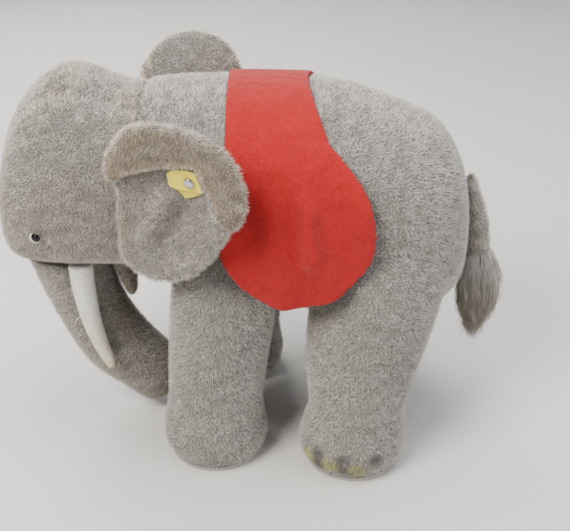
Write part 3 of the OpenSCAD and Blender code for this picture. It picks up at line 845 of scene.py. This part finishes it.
# %% Ears
for side, sign in (("left", 1), ("right", -1)):
    panels = [f"ear_{side}_front_panel", f"ear_{side}_back_panel"]
    form = welded_form(f"ear_{side}_form", panels, 1.15 * MM, 4)
    ear_relief(form, sign)
    rim_tree = tree_of(ear_rim(form))
    panel = nearest_panel(form, panels)
    for index, node in enumerate(panels):
        made = plush_piece(node + "_plush", form, np.flatnonzero(panel == index), 0.5 * MM,
                           5.4 if index == 0 else 3.8, 1.75 * MM, 0.235 * MM, steady(0, 0.8, -0.3), 0.35,
                           ear_colour(rim_tree) if index == 0 else browner(0.35),
                           40 + index + (sign > 0) * 4, keep=ear_keep,
                           shorten=ear_short(rim_tree, sign))
        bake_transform(made)
        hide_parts(node)
    bpy.data.objects.remove(form)
print("ears done")

# %% [markdown]
# ## Tail
# The tail is a narrow tube of the same plush. Its tuft is long mohair: each strand is a thin tube
# that swells out from the tail's end, hangs, and curls a little on its own.

# %% Tail skin and tuft
tail_form = welded_form("tail_form", ["tail_skin"], 0.9 * MM, 3)
tail = plush_piece("tail_plush", tail_form, range(len(tail_form.data.polygons)), 0.8 * MM, 6.0,
                   1.9 * MM, 0.235 * MM, steady(0, 0.1, -1), 0.6, browner(0.3), 50)
finish_piece(tail, "tail", ["tail_skin"])


def strand_shape(steps):
    """A thin cone of three sides, cut into steps along its length so that it can bend."""
    bm = bmesh.new()
    bmesh.ops.create_cone(bm, segments=3, radius1=0.5, radius2=0.125, depth=1.0, cap_ends=True)
    bmesh.ops.translate(bm, verts=bm.verts[:], vec=(0, 0, 0.5))
    for step in range(1, steps - 1):
        bmesh.ops.bisect_plane(bm, geom=bm.verts[:] + bm.edges[:] + bm.faces[:], dist=1e-6,
                               plane_co=(0, 0, step / (steps - 1)), plane_no=(0, 0, 1))
    bm.verts.index_update()
    points = np.array([v.co for v in bm.verts])
    faces = [tuple(v.index for v in f.verts) for f in bm.faces]
    bm.free()
    return points, faces


def strand_piece(name, paths, widths, tints):
    """A strand bent along each path. The paths all have the same number of points."""
    count, steps, _ = paths.shape
    shape, quads = strand_shape(steps)
    along = np.gradient(paths, axis=1)
    along /= np.maximum(np.linalg.norm(along, axis=2, keepdims=True), 1e-9)
    side = np.cross(along, (0.31, 0.87, 0.38))
    side /= np.maximum(np.linalg.norm(side, axis=2, keepdims=True), 1e-9)
    other = np.cross(along, side)
    at = np.rint(shape[:, 2] * (steps - 1)).astype(int)
    across = shape[None, :, :2, None] * widths[:, None, None, None]
    points = paths[:, at] + side[:, at] * across[:, :, 0] + other[:, at] * across[:, :, 1]
    faces = [tuple(v + start for v in quad) for start in range(0, count * len(shape), len(shape))
             for quad in quads]
    return joined_mesh(name, points.reshape(-1, 3), faces, None, tints[:, at].reshape(-1, 3),
                       np.zeros(len(faces)), [PILE])


def tuft_paths(count, steps, rng):
    turn = rng.uniform(0, 2 * math.pi, count)
    inner = np.sqrt(rng.random(count))
    length = rng.uniform(0.72, 1.0, count)
    t = np.linspace(0, 1, steps)[None]
    swollen = np.sin(math.pi * np.clip(t * 0.95 + 0.02, 0, 1)) ** 0.8
    reach = inner[:, None] * (3.4 + 7.2 * swollen - 1.2 * t)
    lean = turn[:, None] + (rng.normal(size=count) * 0.35)[:, None] * t
    x = reach * np.cos(lean)
    across = np.sin(lean)
    y = 97 + reach * np.where(across < 0, 0.72, 1.2) * across + 1.5 * t
    z = 84.5 - 46.5 * length[:, None] * t
    paths = np.stack([x, y, z], axis=2) * MM
    curl = rng.normal(size=(count, 3)) * (2.0, 1.5, 1.6) * MM
    phase = rng.uniform(0, 2 * math.pi, count)
    paths += curl[:, None] * (np.sin(t * 11 + phase[:, None]) * t ** 0.7)[:, :, None]
    paths += (swirl(paths.reshape(-1, 3), 0.010, 61) * 1.5 * MM).reshape(paths.shape) * t[:, :, None]
    return paths


tuft_rng = np.random.default_rng(SEED + 60)
STRANDS, STEPS = 1900, 9
paths = tuft_paths(STRANDS, STEPS, tuft_rng)
share = np.linspace(0, 1, STEPS)[None, :, None]
light = np.array((0.60, 0.57, 0.53)) * (1 + tuft_rng.normal(size=(STRANDS, 1, 1)) * 0.22)
tints = light * (1 - share) + (light * 0.25 + BROWN * 0.42) * share
tuft = strand_piece("tail_tuft_hair", paths, tuft_rng.uniform(0.2, 0.36, STRANDS) * MM, tints)
finish_piece(tuft, "tuft", ["tail_tuft"])
print("tuft", len(tuft.data.polygons), "faces")

# %% [markdown]
# ## Felt
# Felt has no weave and no pile, only a mottled matt surface with a few loose fibres. The tusks,
# the discs behind the eyes and the blanket are cut from it. The tusks are stuffed, and yellow a
# little towards the tip.

# %% Felt pieces
def felt_finish(name, bump=0.35):
    material, tree, shader = new_material(name, 0.88, Sheen_Weight=0.12, Sheen_Roughness=0.6,
                                          Specular_IOR_Level=0.2)
    tint = add_node(tree, "ShaderNodeAttribute", attribute_name="tint").outputs["Color"]
    mottle = object_noise(tree, 0.0012, detail=5.0, distortion=0.8)
    broad = object_noise(tree, 0.012, detail=2.0)
    shade = colour_ramp(tree, mottle, [(0.3, (0.84, 0.84, 0.84)), (0.7, (1.08, 1.08, 1.08))])
    wide = colour_ramp(tree, broad, [(0.35, (0.93, 0.93, 0.93)), (0.65, (1.04, 1.04, 1.04))])
    first = mix_colour(tree, 1.0, tint, shade, "MULTIPLY")
    tree.links.new(mix_colour(tree, 1.0, first, wide, "MULTIPLY"), shader.inputs["Base Color"])
    lumps = object_noise(tree, 0.0055, detail=2.0)
    both = add_node(tree, "ShaderNodeMath", {0: lumps, 1: 5.0, 2: mottle},
                    operation="MULTIPLY_ADD").outputs[0]
    add_bump(tree, shader, both, bump, 0.0005)
    return material


FELT = felt_finish("felt")


def fuzz(mesh, per_mm2, length, width, colour, painted_tip_brightening, seed):
    """Loose fibres that stand in every direction on a felt surface, with painted light brightening them
    towards their tips.
    """
    rng = np.random.default_rng(SEED * 100 + seed)
    roots, outward = strew(mesh, range(len(mesh.polygons)), per_mm2, rng)
    ways = unit(outward * 0.7 + rng.normal(size=roots.shape) * 0.75)
    ways = unit(ways + np.maximum(0, 0.25 - (ways * outward).sum(1))[:, None] * outward * 1.5)
    lengths = length * rng.uniform(0.5, 1.3, len(roots))
    widths = width * rng.uniform(0.8, 1.2, len(roots))
    points, cones, height, radial = planted(FIBRE, roots - outward * 0.05 * MM, ways, lengths,
                                            widths, rng)
    # Painted light: each loose fibre is brighter towards its tip.
    tints = np.repeat(colour(roots), len(FIBRE[0]), axis=0) * (1 + (painted_tip_brightening - 1) * height[:, None])
    each = np.repeat(outward, len(FIBRE[0]), axis=0)
    return points, cones, unit(0.7 * each + 0.3 * unit(radial + 1e-6 * each)), tints


def felt_piece(name, form, colour, per_mm2, length, seed, painted_tip_brightening=1.15):
    """A closed felt form with its loose fibres."""
    skin, normals = points_of(form.data), normals_of(form.data)
    quads = [p.vertices[:] for p in form.data.polygons]
    points, cones, ways, tints = fuzz(form.data, per_mm2, length, 0.12 * MM, colour, painted_tip_brightening, seed)
    return joined_mesh(name, np.vstack([skin, points]), quads + list(cones + len(skin)),
                       np.vstack([normals, ways]), np.vstack([colour(skin), tints]),
                       np.zeros(len(quads) + len(cones)), [FELT])


def tusk_colour(places):
    low = np.clip((70 - places[:, 2:] / MM) / 36, 0, 1) ** 1.3
    return np.array((0.80, 0.77, 0.70)) * (1 - low) + np.array((0.78, 0.68, 0.47)) * low


for side, sign in (("left", 1), ("right", -1)):
    form = welded_form(f"tusk_{side}_form", [f"tusk_{side}", f"tusk_{side}_stuffing"], 0.8 * MM, 3)

    def seam_groove(places, normals):
        off = np.abs(places[:, 0] - sign * 22 * MM) / MM
        places = places - normals * (0.35 * hill(off, 0.5) * (normals[:, 1] < 0))[:, None] * MM
        places[:, 2] += 2.6 * MM * np.clip((places[:, 2] / MM - 79.5) / 3, 0, 1)
        return places

    reshape(form, seam_groove)
    tusk = felt_piece(f"tusk_{side}_felt", form, tusk_colour, 7.0, 0.55 * MM, 70 + (sign > 0))
    finish_piece(tusk, "root", [f"tusk_{side}"])
    bpy.data.objects.remove(form)

for side, sign in (("left", 1), ("right", -1)):
    form = welded_form(f"disc_{side}_form", [f"eye_{side}_disc"], 0.45 * MM, 1)
    centre = points_of(form.data).mean(axis=0)

    def uneven(places, normals):
        off = places - centre
        turn = np.arctan2(off[:, 2], off[:, 1])
        grow = (0.82 + 0.05 * np.sin(2 * turn + 0.7) + 0.04 * np.sin(5 * turn + 2)
                + 0.03 * np.sin(9 * turn))
        out = centre + off * np.stack([np.ones_like(grow), grow, grow], axis=1)
        return out + np.array((0, -0.75, -0.65)) * MM

    reshape(form, uneven)
    disc = felt_piece(f"eye_{side}_disc_felt", form, lambda p: np.tile((0.82, 0.80, 0.75), (len(p), 1)),
                      10.0, 0.5 * MM, 74 + (sign > 0))
    finish_piece(disc, "root", [f"eye_{side}_disc"])
    bpy.data.objects.remove(form)

t = np.linspace(0, 1, 8)
thread_path = np.stack([25.6 + 1.0 * np.sin(t * 2.4), -76.8 - 2.4 * t,
                        62.2 - 1.6 * t + 1.1 * np.sin(t * 4)], axis=1)
thread = strand_piece("tusk_thread_end", thread_path[None] * MM, np.array([0.42 * MM]),
                      np.tile((0.82, 0.80, 0.76), (1, 8, 1)))
finish_piece(thread, "root", [])
print("tusks, eye discs and a thread end done")

# %% [markdown]
# ## Blanket
# The blanket is one piece of red felt laid over the back. Here it is made as two halves that meet
# at the spine: a half follows the body above the fold and its flap below it. The flap hangs with a
# soft crease and a few ripples, and its lower edge stands off the pile.

# %% Red felt blanket
CREASE = np.array([(13.9, 141.2), (19.6, 124.4), (21.7, 106.5)])


def drape(sign):
    def change(places, normals):
        flat = places[:, 1:] / MM
        low = np.clip((148 - flat[:, 1]) / 26, 0, 1)
        low = low * low * (3 - 2 * low)
        crease, _ = line_distance(flat, CREASE)
        beyond, _ = line_distance(flat, CREASE + (7.5, 0))
        out = 3.2 * hill(crease, 4.2) - 1.4 * hill(beyond, 4.2)
        out += 1.0 * np.sin(flat[:, 0] * 0.33 + flat[:, 1] * 0.05)
        out += 0.5 * np.sin(flat[:, 0] * 0.21 - 1 + flat[:, 1] * 0.16)
        out = np.maximum(out + 1.3, 0) * low + 1.2 * np.clip((112 - flat[:, 1]) / 26, 0, 1)
        places = places.copy()
        places[:, 0] += sign * out * MM
        return places
    return change


def red(places):
    # Painted shade: the felt is darker towards the bottom of the flap, where less light falls.
    low = np.clip((150 - places[:, 2:] / MM) / 65, 0, 1)
    return np.array((0.40, 0.008, 0.008)) * (1 - 0.22 * low)


def half_blanket(side, sign):
    def fold(bm):
        """Close the fold between the strap and the flap with the hull of their facing edges."""
        strap = [v.co for v in nodes["blanket_strap"].data.vertices if v.co.x * sign > 33.5 * MM]
        flap = [v.co for v in nodes[f"blanket_{side}_flap"].data.vertices if v.co.z > 143.5 * MM]
        last = max(co.y for co in strap)
        corners = [bm.verts.new(co) for co in strap + [co for co in flap if co.y < last]]
        hull = bmesh.ops.convex_hull(bm, input=corners)
        inside = [g for g in hull["geom_interior"] if isinstance(g, bmesh.types.BMVert)]
        bmesh.ops.delete(bm, geom=inside, context="VERTS")

    form = welded_form(f"blanket_{side}_form", ["blanket_strap", f"blanket_{side}_flap"], 0.8 * MM, 6,
                       fold)
    bm = bmesh.new()
    bm.from_mesh(form.data)
    bmesh.ops.bisect_plane(bm, geom=bm.verts[:] + bm.edges[:] + bm.faces[:], dist=1e-6,
                           plane_co=(0, 0, 0), plane_no=(sign, 0, 0), clear_inner=True)
    bmesh.ops.holes_fill(bm, edges=[e for e in bm.edges if e.is_boundary], sides=0)
    bmesh.ops.recalc_face_normals(bm, faces=bm.faces[:])
    bm.to_mesh(form.data)
    bm.free()
    form.data.update()
    reshape(form, drape(sign))
    return form


for side, sign in (("left", 1), ("right", -1)):
    form = half_blanket(side, sign)
    skin, normals = points_of(form.data), normals_of(form.data)
    quads = [p.vertices[:] for p in form.data.polygons]
    sheet = joined_mesh(f"blanket_{side}_felt", skin, quads, None, red(skin), np.zeros(len(quads)),
                        [FELT])
    points, cones, ways, tints = fuzz(form.data, 2.4, 0.6 * MM, 0.11 * MM, red, 1.25, 90 + (sign > 0))
    loose = joined_mesh(f"blanket_{side}_fuzz", points, list(cones), ways, tints,
                        np.zeros(len(cones)), [FELT])
    size = sum(p.area for p in form.data.polygons) / 2
    print("blanket", side, "flat area", round(size / MM ** 2), "mm2,", len(cones) // 3, "fibres")
    for made in (sheet, loose):
        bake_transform(made)
    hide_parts(f"blanket_{side}_flap", "blanket_strap")
    bpy.data.objects.remove(form)

# %% [markdown]
# ## Tag
# A plain ribbon is folded in two under the stud. Its fold is at the right, and the loose ends
# spread a little.

# %% Ribbon tag
def ribbon_finish():
    material, tree, shader = new_material("tag_ribbon", 0.6, Sheen_Weight=0.2, Specular_IOR_Level=0.35)
    place = add_node(tree, "ShaderNodeTexCoord").outputs["UV"]
    ribs = add_node(tree, "ShaderNodeTexWave", {"Vector": place, "Scale": 30.0, "Distortion": 0.4},
                    bands_direction="X").outputs["Fac"]
    warp = add_node(tree, "ShaderNodeTexWave", {"Vector": place, "Scale": 12.0, "Distortion": 0.4},
                    bands_direction="Y").outputs["Fac"]
    weave = add_node(tree, "ShaderNodeMath", {0: ribs, 1: warp}, operation="MULTIPLY").outputs[0]
    colour = colour_ramp(tree, weave, [(0.1, (0.86, 0.70, 0.03)), (0.7, (0.98, 0.88, 0.09))])
    tree.links.new(colour, shader.inputs["Base Color"])
    add_bump(tree, shader, weave, 0.4, 0.0002)
    return material


def ribbon_tag(length=12.6, width=10.0, thick=0.32):
    corners = np.array([v.co for v in nodes["ear_tag"].data.vertices])
    centre = (corners.min(axis=0) + corners.max(axis=0)) / 2
    normal = np.array((0.88359, -0.3838, -0.26825))
    flat = corners - centre - ((corners - centre) @ normal)[:, None] * normal
    along = np.linalg.svd(flat - flat.mean(axis=0), full_matrices=False)[2][0]
    along *= np.sign(along[1])
    across = np.cross(normal, along)
    across *= np.sign(across[2])
    stud = np.array([(STUD - centre) @ along, (STUD - centre) @ across]) / MM
    bm = bmesh.new()
    bm.loops.layers.uv.new("weave")
    bmesh.ops.create_grid(bm, x_segments=60, y_segments=15, size=0.5, calc_uvs=True)
    for vert in bm.verts:
        run, v = (vert.co.x + 0.5) * 2 * length, vert.co.y * width
        upper, past = run > length, abs(run - length)
        end = length - past
        if past < 0.9:
            bend = (run - length) / 0.9 * math.pi / 2
            u, w = length / 2 - 0.5 + 0.5 * math.cos(bend), 0.42 * math.sin(bend)
        else:
            u, w = min(length / 2 - past, length / 2 - 0.4), 0.42 if upper else -0.42
        v *= math.sqrt(1 - (0.75 if upper else 0.25) * max(0, 1 - end / 5) ** 2)
        v *= 1 - 0.12 * max(0, 1 - past / 3) ** 2
        turn = (0.18 if upper else -0.34) * min(1, past / 4)
        back = u - length / 2
        u = length / 2 + back * math.cos(turn) + v * math.sin(turn)
        v = v * math.cos(turn) - back * math.sin(turn)
        spread = 1.2 * min(1, max(0, math.hypot(u - stud[0], v - stud[1]) - 3) / 6) ** 1.5
        lift = w + (spread if upper else -0.35 * spread)
        lift += 0.18 * math.sin(v * 0.7 + (1 if upper else 4))
        vert.co = Vector(centre + (u * along + v * across + lift * normal) * MM)
    bmesh.ops.solidify(bm, geom=bm.faces[:], thickness=thick * MM)
    bmesh.ops.recalc_face_normals(bm, faces=bm.faces[:])
    made = make_object("ear_tag_ribbon", bm)
    made.data.materials.append(ribbon_finish())
    return made


tag = ribbon_tag()
finish_piece(tag, "tag", ["ear_tag"])
print("tag", len(tag.data.polygons), "faces")

# %% [markdown]
# ## Finishes of the CAD parts that stay
# Eyes, stud, soles, cards and stuffing keep their CAD shape, and each gets its own finish. Most
# are out of sight, but they show when a piece is taken off.

# %% Finishes for carried-over parts
def glass_finish():
    material, tree, shader = new_material("black_glass", 0.05, Specular_IOR_Level=0.3)
    depth = object_noise(tree, 0.004)
    colour = colour_ramp(tree, depth, [(0.4, (0.001, 0.001, 0.001)), (0.7, (0.003, 0.002, 0.002))])
    tree.links.new(colour, shader.inputs["Base Color"])
    return material


def metal_finish(name, tone, roughness):
    material, tree, shader = new_material(name, roughness, Metallic=1.0)
    wear = object_noise(tree, 0.0016, detail=4.0)
    colour = colour_ramp(tree, wear, [(0.35, tuple(c * 0.9 for c in tone)), (0.65, tone)])
    tree.links.new(colour, shader.inputs["Base Color"])
    rough = add_node(tree, "ShaderNodeMapRange", {0: wear, 3: roughness - 0.06, 4: roughness + 0.1})
    tree.links.new(rough.outputs[0], shader.inputs["Roughness"])
    return material


def matt_finish(name, dark, light, size, bump, stretch=(1, 1, 1), roughness=0.85):
    material, tree, shader = new_material(name, roughness, Specular_IOR_Level=0.2)
    grain = object_noise(tree, size, detail=5.0, distortion=0.7, stretch=stretch)
    tree.links.new(colour_ramp(tree, grain, [(0.3, dark), (0.7, light)]), shader.inputs["Base Color"])
    add_bump(tree, shader, grain, bump, size / 2)
    return material


FINISHES = {
    "eye_glass": glass_finish(),
    "stud_metal": metal_finish("satin_metal", (0.50, 0.485, 0.53), 0.26),
    "wire": metal_finish("iron_wire", (0.42, 0.40, 0.38), 0.4),
    "wood_wool": matt_finish("wood_wool", (0.34, 0.22, 0.11), (0.72, 0.56, 0.33), 0.003, 0.9, (1, 1, 6)),
    "card": matt_finish("grey_card", (0.36, 0.32, 0.27), (0.47, 0.43, 0.37), 0.0015, 0.3),
    "sole_cloth": matt_finish("sole_felt", (0.33, 0.30, 0.27), (0.47, 0.44, 0.40), 0.001, 0.5),
    "cord": matt_finish("cotton_cord", (0.55, 0.50, 0.42), (0.76, 0.71, 0.62), 0.0012, 0.8, (1, 1, 3)),
}
WORDS = (("stuffing", "wood_wool"), ("card", "card"), ("sole", "sole_cloth"), ("cord", "cord"),
         ("shank", "wire"), ("stud", "stud_metal"), ("eye_left", "eye_glass"), ("eye_right", "eye_glass"))
kept = 0
for name, node in nodes.items():
    if node.hide_render:
        continue
    which = next(finish for word, finish in WORDS if word in name)
    node.data.materials.clear()
    node.data.materials.append(FINISHES[which])
    kept += 1
print(kept, "CAD parts keep their shape")

for form in (body_form, head_form, trunk_form, lip_form, tail_form):
    bpy.data.objects.remove(form)
